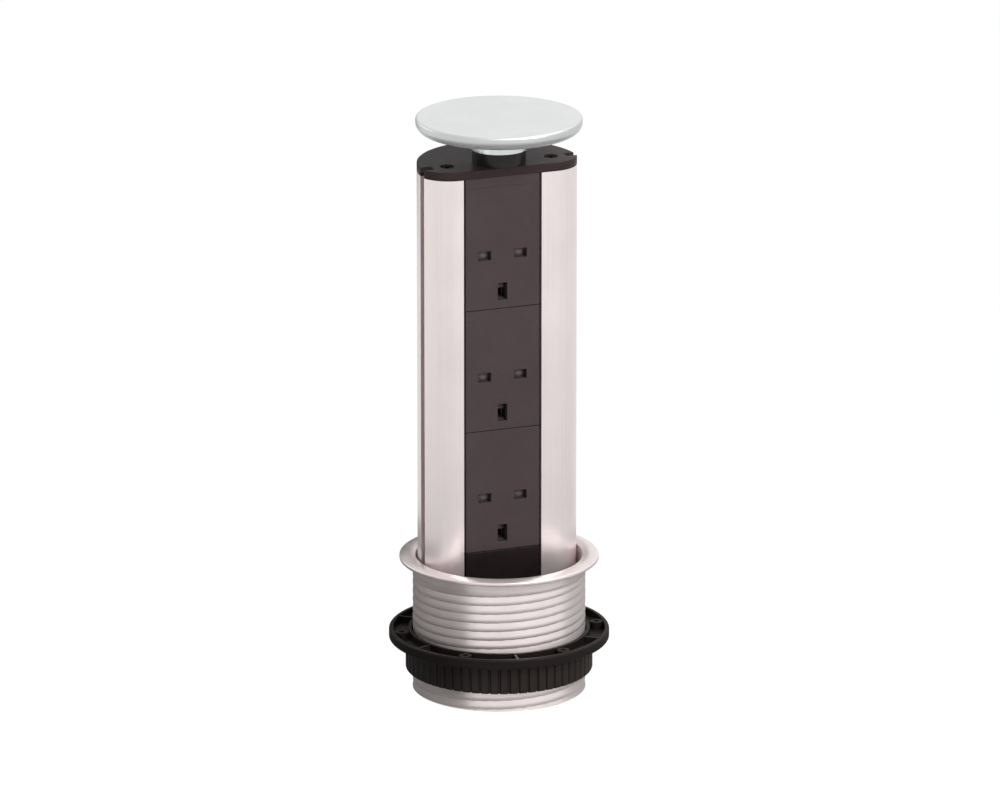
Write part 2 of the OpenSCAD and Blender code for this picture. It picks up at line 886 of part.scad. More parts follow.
module terminal_block() {
    bar_mid = bar_front - bar_t / 2;
    color(dark_plastic)
        translate([panel_shift, 0, 0])
            difference() {
                union() {
                    slab([-block_half, block_half], [block_rear, block_front], [block_bottom, block_top]);
                    for (x = [-block_half, block_half - leg_w])
                        slab([x, x + leg_w], [block_rear, block_front], [base_top, block_bottom + fit_gap]);
                }
                for (x = [-pole_x, 0, pole_x]) {
                    slab(
                        [x - bar_w / 2 - fit_gap, x + bar_w / 2 + fit_gap],
                        [bar_front - bar_t - fit_gap, bar_front + fit_gap],
                        [bar_seat - fit_gap, block_top + 1]
                    );
                    translate([x, -bar_mid, block_bottom - 1])
                        cylinder(d = wire_hole_d, h = bar_seat - block_bottom, $fn = 32);
                    translate([x, -bar_front, (bar_seat + block_top) / 2])
                        rotate([90, 0, 0])
                            cylinder(d = clamp_screw_d + 2 * fit_gap, h = 2 * block_wall, $fn = 32);
                }
            }
}

module terminal_screws() {
    color(steel)
        translate([panel_shift, 0, 0])
            for (x = [-pole_x, 0, pole_x])
                translate([x, -bar_front - fit_gap, (bar_seat + block_top) / 2])
                    rotate([90, 0, 0])
                        difference() {
                            cylinder(d = clamp_screw_d, h = clamp_screw_len, $fn = 32);
                            translate([-clamp_screw_d, -0.4, clamp_screw_len - 1])
                                cube([2 * clamp_screw_d, 0.8, 2]);
                        }
}

module neck_sleeve() {
    color(black_plastic)
        difference() {
            union() {
                translate([0, 0, column_rise])
                    cylinder(r = neck_r, h = neck_top - column_rise);
                translate([0, 0, spigot_bottom])
                    cylinder(r = spigot_r, h = column_rise - spigot_bottom + fit_gap);
                translate([0, 0, spigot_bottom])
                    cylinder(r = spigot_r + spigot_lip, h = spigot_drop - fit_gap);
            }
            translate([0, 0, cup_floor])
                cylinder(r = cup_r, h = neck_top);
            translate([0, 0, spigot_bottom - 1])
                cylinder(d = stem_d + 2 * stem_gap, h = cup_floor);
        }
}

// Section of the lid: flat above and below, with a tight upper and a full lower edge
module lid_section() {
    square([lid_r - lid_under_r, lid_t]);
    translate([0, lid_under_r]) {
        square([lid_r - lid_top_r, lid_t - lid_under_r]);
        square([lid_r, lid_t - lid_under_r - lid_top_r]);
    }
    intersection() {
        translate([lid_r - lid_under_r, lid_under_r])
            circle(r = lid_under_r);
        square([lid_r, lid_under_r]);
    }
    translate([lid_r - lid_top_r, lid_t - lid_top_r])
        circle(r = lid_top_r);
}

module lid() {
    color(lid_silver)
        translate([0, 0, lid_bottom])
            difference() {
                rotate_extrude($fn = 180)
                    lid_section();
                both_sides()
                    translate([hub_screw_r, 0, -1])
                        cylinder(d = hub_screw_d + 2 * fit_gap, h = lid_t - 1, $fn = 32);
            }
}

module lid_ferrule() {
    color(bright_metal)
        translate([0, 0, lid_bottom - ferrule_len])
            difference() {
                cylinder(r = ferrule_in_r + ferrule_wall, h = ferrule_len);
                translate([0, 0, -1])
                    cylinder(r = ferrule_in_r, h = ferrule_len + 2);
            }
}

module lid_stem() {
    clip_z = spigot_bottom - slide_gap - clip_h;
    color(black_plastic)
        difference() {
            union() {
                translate([0, 0, hub_bottom])
                    cylinder(r = hub_r, h = hub_h);
                translate([0, 0, stem_bottom])
                    cylinder(d = stem_d, h = hub_bottom - stem_bottom + fit_gap);
            }
            translate([0, 0, clip_z - fit_gap])
                difference() {
                    cylinder(d = stem_d + 2, h = clip_h + 2 * fit_gap);
                    translate([0, 0, -1])
                        cylinder(d = stem_d - 2 * groove_depth, h = clip_h + 3);
                }
            both_sides()
                translate([hub_screw_r, 0, hub_bottom - 1])
                    cylinder(d = hub_screw_d + 2 * fit_gap, h = hub_h + 2, $fn = 32);
        }
}

module stem_clip() {
    color(steel)
        translate([0, 0, spigot_bottom - slide_gap - clip_h])
            difference() {
                cylinder(d = stem_d + 3, h = clip_h);
                translate([0, 0, -1])
                    cylinder(d = stem_d - 2 * groove_depth + 2 * fit_gap, h = clip_h + 2);
                translate([0, -1.2, -1])
                    cube([stem_d, 2.4, clip_h + 2]);
            }
}

module hub_screws() {
    color(steel)
        both_sides()
            translate([hub_screw_r, 0, hub_bottom])
                rotate([180, 0, 0])
                    difference() {
                        union() {
                            cylinder(d = hub_screw_d * 1.6, h = 1.2, $fn = 32);
                            translate([0, 0, -hub_h - lid_t + 2.2])
                                cylinder(d = hub_screw_d, h = hub_h + lid_t - 2.1, $fn = 32);
                        }
                        translate([0, 0, 0.5])
                            cylinder(d = hub_screw_d * 0.6, h = 2, $fn = 6);
                    }
}

module lid_spring() {
    color(steel)
        coil(lid_spring_d / 2, lid_wire_d / 2, cup_floor + fit_gap, hub_bottom - fit_gap, lid_spring_turns);
}

collar();
guide_bush();
clamp_ring();
clamp_nut();
column_profile();
top_plate();
top_screws();
base_plate();
base_screws();
friction_pads();
cable_gland();
gland_nut();
top_strip();
bottom_strip();
socket_face(1);  // socket_face_1
socket_face(2);  // socket_face_2
socket_face(3);  // socket_face_3
socket_back(1);  // socket_back_1
socket_back(2);  // socket_back_2
socket_back(3);  // socket_back_3
contacts(1);  // contacts_1
contacts(2);  // contacts_2
contacts(3);  // contacts_3
shutter(1);  // shutter_1
shutter(2);  // shutter_2
shutter(3);  // shutter_3
shutter_spring(1);  // shutter_spring_1
shutter_spring(2);  // shutter_spring_2
shutter_spring(3);  // shutter_spring_3
live_bar();
neutral_bar();
earth_bar();
terminal_block();
terminal_screws();
neck_sleeve();
lid();
lid_ferrule();
lid_stem();
stem_clip();
hub_screws();
lid_spring();
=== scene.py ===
import math

import bpy
import numpy as np
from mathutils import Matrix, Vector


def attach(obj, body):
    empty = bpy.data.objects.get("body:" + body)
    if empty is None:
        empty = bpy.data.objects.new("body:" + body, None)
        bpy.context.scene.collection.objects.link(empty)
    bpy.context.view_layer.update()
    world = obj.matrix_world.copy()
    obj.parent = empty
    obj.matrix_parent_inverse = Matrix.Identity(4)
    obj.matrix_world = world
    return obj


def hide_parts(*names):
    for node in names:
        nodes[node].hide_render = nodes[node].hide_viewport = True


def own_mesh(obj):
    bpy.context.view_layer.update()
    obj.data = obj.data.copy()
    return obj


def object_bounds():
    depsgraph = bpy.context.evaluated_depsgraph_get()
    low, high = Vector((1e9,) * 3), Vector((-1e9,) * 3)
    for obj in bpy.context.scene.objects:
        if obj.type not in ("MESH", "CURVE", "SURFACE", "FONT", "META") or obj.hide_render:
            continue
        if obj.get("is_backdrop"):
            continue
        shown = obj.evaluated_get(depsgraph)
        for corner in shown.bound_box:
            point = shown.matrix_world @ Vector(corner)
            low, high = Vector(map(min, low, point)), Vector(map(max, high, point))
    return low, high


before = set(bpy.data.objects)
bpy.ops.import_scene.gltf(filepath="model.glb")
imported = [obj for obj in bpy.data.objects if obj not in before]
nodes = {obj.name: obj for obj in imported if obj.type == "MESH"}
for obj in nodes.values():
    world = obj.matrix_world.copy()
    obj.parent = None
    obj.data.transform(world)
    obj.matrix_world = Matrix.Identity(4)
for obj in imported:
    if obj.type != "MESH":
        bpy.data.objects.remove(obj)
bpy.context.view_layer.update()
scene = bpy.context.scene
MM = 0.001

# Sizes of the solids that the surfaces below stand for, in millimetres and degrees

# Collar: rim, spigot, sleeve and two-start thread
BORE_R = 49.0
RIM_R = 58.5
RIM_T = 3.0
RIM_CROWN_R = 14.0
CROWN_INSET = 1.2
SPIGOT_R = 51.0
SPIGOT_LEN = 6.0
SPIGOT_STEP = 0.05
CREST_R = 50.95
SLEEVE_LEN = 78.8
FOOT_BORE_R = 48.55
BUSH_BOTTOM = -58.0
PITCH = 5.3
LEAD = 2 * PITCH
GROOVE_DEPTH = 0.6
GROOVE_W = 1.4
THREAD_Z = -8.6
THREAD_TURN = -111.5
THREAD_RUN_IN = 3.0
LEAN_POWER = 1.2
LIP_SHARE = 0.48
LIP_DEPTH = 0.75

# Nut: a gap between ribs and its slopes are given as shares of the ribs' spacing
NUT_R = 55.0
NUT_TOP = -48.7
NUT_H = 18.2
NUT_GAP = 0.45
RIBS = 60
RIB_H = 1.0
RIB_FOOT_R = NUT_R - 2.5
RIB_RISE = 2.0
GAP_HALF = 0.17
GAP_SLOPE = 0.10

# Outlets: heights are counted from an outlet's lower edge
PANEL_X = -3.6
FACE_FRONT = 14.9
FLANGE_FRONT = 13.05
FACE_BACK = 10.55
FACE_HALF = 22.9
FLANGE_HALF = 27.0
STACK_TOP = 229.6
OUTLET_PITCH = 73.4
SEAM = 0.4
TOP_LAP = 0.15
POLE_X = 11.1
POLE_Z = 32.4
POLE_SLOT = (7.9, 5.5)
EARTH_Z = 10.2
EARTH_SLOT = (5.8, 10.3)

# Shutters and their springs: heights are counted from the middle of the pole slots
# Half sizes and sideways offset of the lit middle of each shutter blade; outside it, shade is painted into the blade's
# colour
SHUTTER_LIT_HALF = (3.4, 2.5)
SHUTTER_LIT_OFF = 1.3
SHUTTER_SPRING_R = 1.6
SHUTTER_WIRE_R = 0.35
SHUTTER_SPRING_LOW = 4.0
SHUTTER_SPRING_HIGH = 17.95
SHUTTER_SPRING_TURNS = 6
SPRING_GAP = 0.05

# Lid and its spring
LID_R = 48.5
LID_FLAT_R = 47.1
LID_SPRING_R = 6.4
LID_WIRE_R = 0.5
LID_SPRING_LOW = 242.65
LID_SPRING_HIGH = 255.15
LID_SPRING_TURNS = 5


# Shapes

def linked(name, data):
    """A new object of the scene, at the origin."""
    made = bpy.data.objects.new(name, data)
    scene.collection.objects.link(made)
    return made


def shared_piece(name, points, faces, material, body, slot, stands_for, crease=35.0):
    """A mesh object at the origin from points in millimetres; edges sharper than crease degrees stay crisp."""
    mesh = bpy.data.meshes.new(name)
    mesh.from_pydata((np.asarray(points, float).reshape(-1, 3) * MM).tolist(), [], faces)
    mesh.validate()
    mesh.shade_smooth()
    mesh.set_sharp_from_angle(angle=math.radians(crease))
    piece = linked(name, mesh)
    piece.data.materials.append(material)
    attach(piece, body)
    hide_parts(*stands_for)
    return piece


def grid_faces(rows, columns, wrap_rows=False, wrap_columns=False):
    """Quads of a grid of rows by columns points, each joined to the next row and column, round again where it wraps."""
    i = np.arange(rows if wrap_rows else rows - 1)[:, None]
    j = np.arange(columns if wrap_columns else columns - 1)[None, :]
    up, on = (i + 1) % rows, (j + 1) % columns
    corners = [i * columns + j, up * columns + j, up * columns + on, i * columns + on]
    return np.stack(np.broadcast_arrays(*corners), axis=-1).reshape(-1, 4).tolist()


def rounded_loop(corners, steps, closest=0.008):
    """A closed outline from corners (r, z, radius): each corner is an arc tangent to both of its sides. Points that
    fall on their neighbours, as at a very slight corner, are left out."""
    places = np.array([c[:2] for c in corners], float)
    radii = np.array([c[2] for c in corners], float)
    back = np.roll(places, 1, axis=0) - places
    ahead = np.roll(places, -1, axis=0) - places
    back /= np.linalg.norm(back, axis=1, keepdims=True)
    ahead /= np.linalg.norm(ahead, axis=1, keepdims=True)
    half = np.arccos(np.clip((back * ahead).sum(axis=1), -1, 1)) / 2
    reach = radii / np.tan(half)
    bisector = back + ahead
    bisector /= np.linalg.norm(bisector, axis=1, keepdims=True)
    centre = places + bisector * (radii / np.sin(half))[:, None]
    first = places + back * reach[:, None] - centre
    last = places + ahead * reach[:, None] - centre
    share = np.linspace(0, 1, steps)[None, :, None]
    sweep = (math.pi - 2 * half)[:, None, None]
    arc = (np.sin((1 - share) * sweep) * first[:, None] + np.sin(share * sweep) * last[:, None]) / np.sin(sweep)
    loop = (centre[:, None] + arc).reshape(-1, 2)
    return loop[np.linalg.norm(loop - np.roll(loop, 1, axis=0), axis=1) > closest]


def fine_along_z(loop, step, beyond=0.0):
    """The same outline with upright runs at or beyond a radius cut into steps of at most that height."""
    ahead = np.roll(loop, -1, axis=0)
    counts = np.maximum(1, np.ceil(np.abs(ahead - loop)[:, 1] / step).astype(int))
    counts = np.where(np.minimum(loop, ahead)[:, 0] >= beyond, counts, 1)
    start = np.repeat(loop, counts, axis=0)
    span = np.repeat(ahead - loop, counts, axis=0)
    within = np.concatenate([np.arange(c) / c for c in counts])[:, None]
    return start + span * within


def turned(loop, count):
    """Radius, angle and height grids of a closed outline at count angles round the z axis: rows follow the outline."""
    angles = np.linspace(0, 2 * math.pi, count, endpoint=False)
    radius = np.repeat(loop[:, :1], count, axis=1)
    height = np.repeat(loop[:, 1:], count, axis=1)
    return radius, np.repeat(angles[None, :], len(loop), axis=0), height


def upright(radius, angle, height):
    """Points x = r cos a, y = r sin a, z = h."""
    return np.stack([radius * np.cos(angle), radius * np.sin(angle), height], axis=-1)


def smooth_step(share):
    """3 s^2 - 2 s^3, which leaves 0 and reaches 1 without a kink."""
    return share * share * (3 - 2 * share)


def below_groove(angle, height):
    """How far a place lies below the middle of a groove, in millimetres: a right-hand groove climbs one lead a turn."""
    turn = (angle - math.radians(THREAD_TURN)) / (2 * math.pi)
    return THREAD_Z + LEAD * turn - height


def groove_share(angle, height, width):
    """How deep a V groove of two starts is at a place, 0 on the crest and 1 at its foot, which is rounded."""
    off = (PITCH / 2 - below_groove(angle, height)) % PITCH - PITCH / 2
    return smooth_step(np.clip(1 - np.abs(off) / (width / 2), 0, 1))


def thread_share(angle, height):
    """How deep the collar's thread is at a place, 0 to 1: below each turn of the groove the wall leans out again, and
    its lower edge is rounded, so that each turn hangs a little over the one below."""
    below = (below_groove(angle, height) / PITCH) % 1
    rounding = np.clip((below - 1 + LIP_SHARE) / LIP_SHARE, 0, 1)
    return (1 - below) ** LEAN_POWER + LIP_DEPTH * rounding ** 2


def collar_surface():
    """The collar's closed outline, turned: a rim crowned by z = c + sqrt(R^2 - (r - m)^2), a plain spigot, and a
    sleeve whose outside is r minus the thread's depth, which comes in by a smooth step below the spigot."""
    middle = (BORE_R + RIM_R) / 2
    across = np.linspace(BORE_R + CROWN_INSET, RIM_R - CROWN_INSET, 15)
    crown = RIM_T - RIM_CROWN_R + np.sqrt(RIM_CROWN_R ** 2 - (across - middle) ** 2)
    edge = RIM_T - RIM_CROWN_R + math.sqrt(RIM_CROWN_R ** 2 - (RIM_R - middle) ** 2)
    corners = [(BORE_R, edge, 0.35)]
    corners += [(r, z, 0.02) for r, z in zip(across, crown)]
    corners += [
        (RIM_R, edge, 0.5), (RIM_R, 0, 0.85), (SPIGOT_R, 0, 0.25), (SPIGOT_R, -SPIGOT_LEN, 0.02),
        (CREST_R, -SPIGOT_LEN - SPIGOT_STEP, 0.02), (CREST_R, -SLEEVE_LEN, 0.35), (FOOT_BORE_R, -SLEEVE_LEN, 0.35),
        (FOOT_BORE_R, BUSH_BOTTOM, 0.1), (BORE_R, BUSH_BOTTOM, 0.1),
    ]
    loop = fine_along_z(rounded_loop(corners, 4), 0.24, CREST_R - 0.1)
    radius, angle, height = turned(loop, 216)
    outside = (radius > CREST_R - 0.01) & (height < -SPIGOT_LEN - 0.1)
    run_in = smooth_step(np.clip((-SPIGOT_LEN - height) / THREAD_RUN_IN, 0, 1))
    radius = radius - outside * GROOVE_DEPTH * run_in * thread_share(angle, height)
    return upright(radius, angle, height), grid_faces(*radius.shape, True, True)


def nut_surface():
    """The nut's closed outline, turned: its outside is r minus a smooth step at each gap between ribs, and its inside
    is r minus a ridge that follows the collar's groove."""
    top, foot, inner = NUT_TOP, NUT_TOP - NUT_H, CREST_R + NUT_GAP
    corners = [(inner, top, 0.2), (NUT_R, top, 0.9), (NUT_R, foot, 0.9), (inner, foot, 0.2)]
    loop = fine_along_z(rounded_loop(corners, 6), 0.5)
    radius, angle, height = turned(loop, RIBS * 9)
    place = (angle * RIBS / (2 * math.pi)) % 1
    gap = smooth_step(np.clip((GAP_HALF - np.abs(place - 0.5)) / GAP_SLOPE, 0, 1))
    wall = np.clip((radius - RIB_FOOT_R) / RIB_RISE, 0, 1)
    ridge = (radius < inner + 0.05) * GROOVE_DEPTH * groove_share(angle, height, GROOVE_W / 2)
    radius = radius - wall * RIB_H * gap - ridge
    return upright(radius, angle, height), grid_faces(*radius.shape, True, True)


def coil_surface(mean_r, wire_r, low, high, turns):
    """A round wire carried up a helix: rings about (mean_r cos t, mean_r sin t, rise t), closed by a fan at each end.
    The first and last turns rise by little more than half a wire, as on a ground spring."""
    sides, rings, flat, end_rise = 12, int(turns * 30), 0.8, 1.6 * wire_r
    turn = np.linspace(0, 1, rings) * turns
    level = np.clip((turn - flat) / (turns - 2 * flat), 0, 1)
    middle = low + wire_r + end_rise * np.minimum(turn, flat) + (high - low - 5.2 * wire_r) * level
    middle = middle + end_rise * np.clip(turn - (turns - flat), 0, flat)
    a = np.linspace(0, 2 * math.pi, sides, endpoint=False)[None, :]
    angle = np.repeat((turn * 2 * math.pi)[:, None], sides, axis=1)
    points = upright(mean_r + wire_r * np.cos(a), angle, middle[:, None] + wire_r * np.sin(a)).reshape(-1, 3)
    faces = grid_faces(rings, sides, False, True)
    last = (rings - 1) * sides
    return points, faces + [list(range(sides)), list(range(last, last + sides))[::-1]]


def cell_surface(xs, ys, zs, solid):
    """The skin of a solid made of the cells of an uneven grid: a quad wherever a full cell meets an empty one."""
    full = np.pad(np.asarray(solid, bool), 1)
    strides = np.array([len(ys) * len(zs), len(zs), 1])
    quads = []
    for axis in range(3):
        u, v = (axis + 1) % 3, (axis + 2) % 3
        here = np.moveaxis(full, axis, 0)
        for side, (a, b) in enumerate(((here[1:], here[:-1]), (here[:-1], here[1:]))):
            corner = np.argwhere(np.moveaxis(a & ~b, 0, axis)) - 1
            corner[:, axis] += 1
            base = corner @ strides
            ring = np.stack([base, base + strides[u], base + strides[u] + strides[v], base + strides[v]], axis=1)
            quads.append(ring[:, ::-1] if side == 0 else ring)
    used, flat = np.unique(np.concatenate(quads), return_inverse=True)
    grid = np.stack(np.meshgrid(xs, ys, zs, indexing="ij"), axis=-1).reshape(-1, 3)
    return grid[used], flat.reshape(-1, 4).tolist()


def soften(piece, width, segments=3, angle=40.0):
    """Rounds the edges of a piece, as a moulded or machined edge is."""
    bevel = piece.modifiers.new("rounded_edges", "BEVEL")
    bevel.width = width * MM
    bevel.segments = segments
    bevel.limit_method = "ANGLE"
    bevel.angle_limit = math.radians(angle)
    bevel.harden_normals = True


# Materials

CLOUDS_PER_M = 38.0
NOISE_SPAN = {"From Min": 0.6, "From Max": 1.4}
FAR = 1000.0


def hex_colour(code):
    """A six-figure sRGB hex value as linear red, green, blue and 1."""
    value = np.array([int(code[i:i + 2], 16) for i in (0, 2, 4)]) / 255
    linear = np.where(value <= 0.04045, value / 12.92, ((value + 0.055) / 1.055) ** 2.4)
    return (*linear.tolist(), 1.0)


def add(tree, kind, inputs=None, **settings):
    """Adds one node with its own settings; inputs holds socket values, or the sockets that feed them."""
    made = tree.nodes.new(kind)
    for name, value in settings.items():
        setattr(made, name, value)
    for name, value in (inputs or {}).items():
        if isinstance(value, bpy.types.NodeSocket):
            tree.links.new(value, made.inputs[name])
        else:
            made.inputs[name].default_value = value
    return made


def empty_tree(owner):
    """The cleared node tree of a material or world."""
    owner.use_nodes = True
    owner.node_tree.nodes.clear()
    return owner.node_tree


def surface(name, light, dark, scale, detail, rough, bump, grain_mm, **shader):
    """A finish of one substance: its colour drifts between two hex tones, its roughness between two values, and
    its bump has the grain's height. scale is how many grains of the pattern fit in a metre along x, y and z."""
    material = bpy.data.materials.new(name)
    tree = empty_tree(material)
    place = add(tree, "ShaderNodeTexCoord")
    spread = add(tree, "ShaderNodeMapping", {"Vector": place.outputs["Object"], "Scale": scale})
    grain = add(tree, "ShaderNodeTexNoise", {"Vector": spread.outputs["Vector"], "Scale": 1.0, "Detail": detail})
    cloud = add(tree, "ShaderNodeTexNoise", {
        "Vector": place.outputs["Object"], "Scale": CLOUDS_PER_M, "Detail": 3.0})
    both = add(tree, "ShaderNodeMath", {0: grain.outputs["Fac"], 1: cloud.outputs["Fac"]}, operation="ADD")
    tone = add(tree, "ShaderNodeMapRange", {"Value": both.outputs[0], **NOISE_SPAN})
    colour = add(tree, "ShaderNodeMix", {"Factor": tone.outputs[0]}, data_type="RGBA")
    colour.inputs[6].default_value = hex_colour(dark)
    colour.inputs[7].default_value = hex_colour(light)
    gloss = add(tree, "ShaderNodeMapRange", {
        "Value": both.outputs[0], **NOISE_SPAN, "To Min": rough[0], "To Max": rough[1]})
    relief = add(tree, "ShaderNodeBump", {
        "Height": grain.outputs["Fac"], "Strength": bump, "Distance": grain_mm * MM})
    body = add(tree, "ShaderNodeBsdfPrincipled", {
        "Base Color": colour.outputs[2], "Roughness": gloss.outputs[0], "Normal": relief.outputs[0], **shader})
    add(tree, "ShaderNodeOutputMaterial", {"Surface": body.outputs[0]})
    return material


def paint_shade_by_reach(material, centre, cell, scale, span, code):
    """Paints shade into a finish: mixes a second, darker hex tone in by the distance from the nearest centre. Centres
    repeat every two cells, distances in millimetres are scaled along x, y and z, and the painted shade comes in from
    one end of span to the other."""
    tree = material.node_tree
    body = next(node for node in tree.nodes if node.type == "BSDF_PRINCIPLED")
    half = np.array(cell) * MM
    place = add(tree, "ShaderNodeTexCoord")
    offset = add(tree, "ShaderNodeVectorMath", {
        0: place.outputs["Object"], 1: np.array(centre) * MM}, operation="SUBTRACT")
    nearest = add(tree, "ShaderNodeVectorMath", {0: offset.outputs[0], 1: half, 2: -half}, operation="WRAP")
    scaled = add(tree, "ShaderNodeVectorMath", {
        0: nearest.outputs[0], 1: np.array(scale) / MM}, operation="MULTIPLY")
    reach = add(tree, "ShaderNodeVectorMath", {0: scaled.outputs[0]}, operation="LENGTH")
    share = add(tree, "ShaderNodeMapRange", {
        "Value": reach.outputs["Value"], "From Min": span[0], "From Max": span[1]})
    mixed = add(tree, "ShaderNodeMix", {"Factor": share.outputs[0]}, data_type="RGBA")
    tree.links.new(body.inputs["Base Color"].links[0].from_socket, mixed.inputs[6])
    mixed.inputs[7].default_value = hex_colour(code)
    tree.links.new(mixed.outputs[2], body.inputs["Base Color"])


# Extruded aluminium, bead blasted and anodised: a wide soft sheen with fine die lines that run up the column
extruded_aluminium = surface(
    "extruded_aluminium", "E6DCDC", "DCD1D2", (1800, 1800, 9), 4.0, (0.34, 0.44), 0.10, 0.02, Metallic=0.85)
# Turned aluminium, anodised the same: tool lines run round the collar, drawn coarser than they are so that they show
turned_aluminium = surface(
    "turned_aluminium", "ECE1E0", "E2D7D6", (60, 60, 1500), 4.0, (0.30, 0.38), 0.04, 0.02, Metallic=0.6)
# Die-cast zinc with a silver lacquer: even and pale, with a very fine fleck
silver_lacquer = surface(
    "silver_lacquer", "E3E4E4", "D9DADA", (1500, 1500, 1500), 3.0, (0.38, 0.46), 0.05, 0.02, Metallic=0.85)
# Painted shade: its turned edge is coloured a tone darker than its top, standing in for the shade on the rounded rim,
# so that the lid reads as a disc with a rounded rim
paint_shade_by_reach(silver_lacquer, (0, 0, 0), (FAR, FAR, FAR), (1, 1, 0), (LID_FLAT_R, LID_R), "C2C4C4")
# Chromium-plated steel tube: a clear, slightly cool reflection
plated_steel = surface(
    "plated_steel", "D2D8D6", "C6CCCA", (60, 60, 900), 3.0, (0.20, 0.26), 0.02, 0.01, Metallic=1.0)
# Moulded PC/ABS with a spark-eroded texture: warm dark grey, nearly without gloss
outlet_plastic = surface(
    "outlet_plastic", "4C4143", "43393B", (1700, 1700, 1700), 3.0, (0.50, 0.62), 0.16, 0.05,
    **{"Specular IOR Level": 0.12})
# The same moulding of the top plate: a darker tone, and smooth enough to pale towards its far edge
plate_plastic = surface(
    "plate_plastic", "3E3233", "352A2B", (1700, 1700, 1700), 3.0, (0.34, 0.44), 0.10, 0.04,
    **{"Specular IOR Level": 0.05})
# The same moulding in black with a smoother tool face: a clear, narrow sheen
black_strip_plastic = surface(
    "black_strip_plastic", "211B1A", "191514", (1700, 1700, 1700), 3.0, (0.28, 0.38), 0.08, 0.03,
    **{"Specular IOR Level": 0.15})
# Glass-filled nylon: near black, with a dry grain and a faint sheen
filled_nylon = surface(
    "filled_nylon", "1F1917", "181312", (1200, 1200, 1200), 4.0, (0.42, 0.56), 0.20, 0.06,
    **{"Specular IOR Level": 0.12})
# The nut's nylon: a shade browner, with a clearer sheen on its ribs
nut_nylon = surface(
    "nut_nylon", "2A2320", "221C1A", (1200, 1200, 1200), 4.0, (0.34, 0.46), 0.14, 0.05,
    **{"Specular IOR Level": 0.22})
# Acetal: black, smooth and a little waxy
black_acetal = surface(
    "black_acetal", "241F1E", "1C1817", (900, 900, 900), 3.0, (0.26, 0.36), 0.08, 0.03,
    **{"Specular IOR Level": 0.25})
# Grey acetal of the shutters: painted shade, a dark tone round about each blade where the slot's walls shade it, and
# paler in its lit middle
grey_acetal = surface(
    "grey_acetal", "766A6B", "665B5C", (900, 900, 900), 3.0, (0.36, 0.46), 0.08, 0.03, IOR=1.48)
paint_shade_by_reach(
    grey_acetal, (PANEL_X + POLE_X + SHUTTER_LIT_OFF, 0, STACK_TOP - OUTLET_PITCH + POLE_Z),
    (POLE_X, FAR, OUTLET_PITCH / 2), (1 / SHUTTER_LIT_HALF[0], 0, 1 / SHUTTER_LIT_HALF[1]), (0.35, 1.0), "383031")
# Rolled brass strip: lines along the strip and a warm, half-bright sheen; its tone is darkened well below bright brass
# as painted shade, for the contacts that lie in the shadow deep in the slots
rolled_brass = surface(
    "rolled_brass", "7A6339", "64502B", (1500, 1500, 60), 4.0, (0.34, 0.46), 0.08, 0.02, Metallic=1.0)
# Zinc-plated steel of screws and springs: bright, cool and a little uneven
zinc_steel = surface(
    "zinc_steel", "B4B7BB", "9CA0A5", (800, 800, 800), 3.0, (0.22, 0.34), 0.08, 0.02, Metallic=1.0)
# Blackened steel of the screws in the top plate: matt, so that each reads as a dark spot
black_steel = surface(
    "black_steel", "161313", "100E0E", (800, 800, 800), 3.0, (0.44, 0.56), 0.08, 0.02,
    **{"Specular IOR Level": 0.02})
# Nitrile rubber of the friction pads: black and dry
pad_rubber = surface(
    "pad_rubber", "1B1B1B", "121212", (1400, 1400, 1400), 4.0, (0.66, 0.80), 0.25, 0.06, IOR=1.5)

finishes = {
    "column_profile": extruded_aluminium,
    "top_plate": plate_plastic, "top_strip": outlet_plastic, "terminal_block": outlet_plastic,
    "bottom_strip": black_strip_plastic,
    "clamp_ring": filled_nylon, "base_plate": filled_nylon, "cable_gland": filled_nylon, "gland_nut": filled_nylon,
    "guide_bush": black_acetal, "neck_sleeve": black_acetal, "lid_stem": black_acetal,
    "lid": silver_lacquer, "lid_ferrule": plated_steel,
    "live_bar": rolled_brass, "neutral_bar": rolled_brass, "earth_bar": rolled_brass,
    "top_screws": black_steel, "base_screws": zinc_steel, "hub_screws": zinc_steel, "terminal_screws": zinc_steel,
    "stem_clip": zinc_steel, "friction_pads": pad_rubber,
}
for n in (1, 2, 3):
    finishes[f"socket_back_{n}"] = outlet_plastic
    finishes[f"contacts_{n}"] = rolled_brass
    finishes[f"shutter_{n}"] = grey_acetal
for name, finish in finishes.items():
    nodes[name].data.materials.clear()
    nodes[name].data.materials.append(finish)


# Pieces

def ease(name, width, segments=2):
    """Rounds the edges of a solid's own mesh, whose triangles are joined first."""
    joined = nodes[name].modifiers.new("joined_triangles", "WELD")
    joined.merge_threshold = 0.002 * MM
    soften(nodes[name], width, segments)


ease("top_plate", 0.6, 3)
ease("top_strip", 0.25)
ease("bottom_strip", 0.25)

shared_piece("threaded_collar", *collar_surface(), turned_aluminium, "collar", "aluminium", ["collar"])
shared_piece("ribbed_nut", *nut_surface(), nut_nylon, "nut", "black_plastic", ["clamp_nut"])

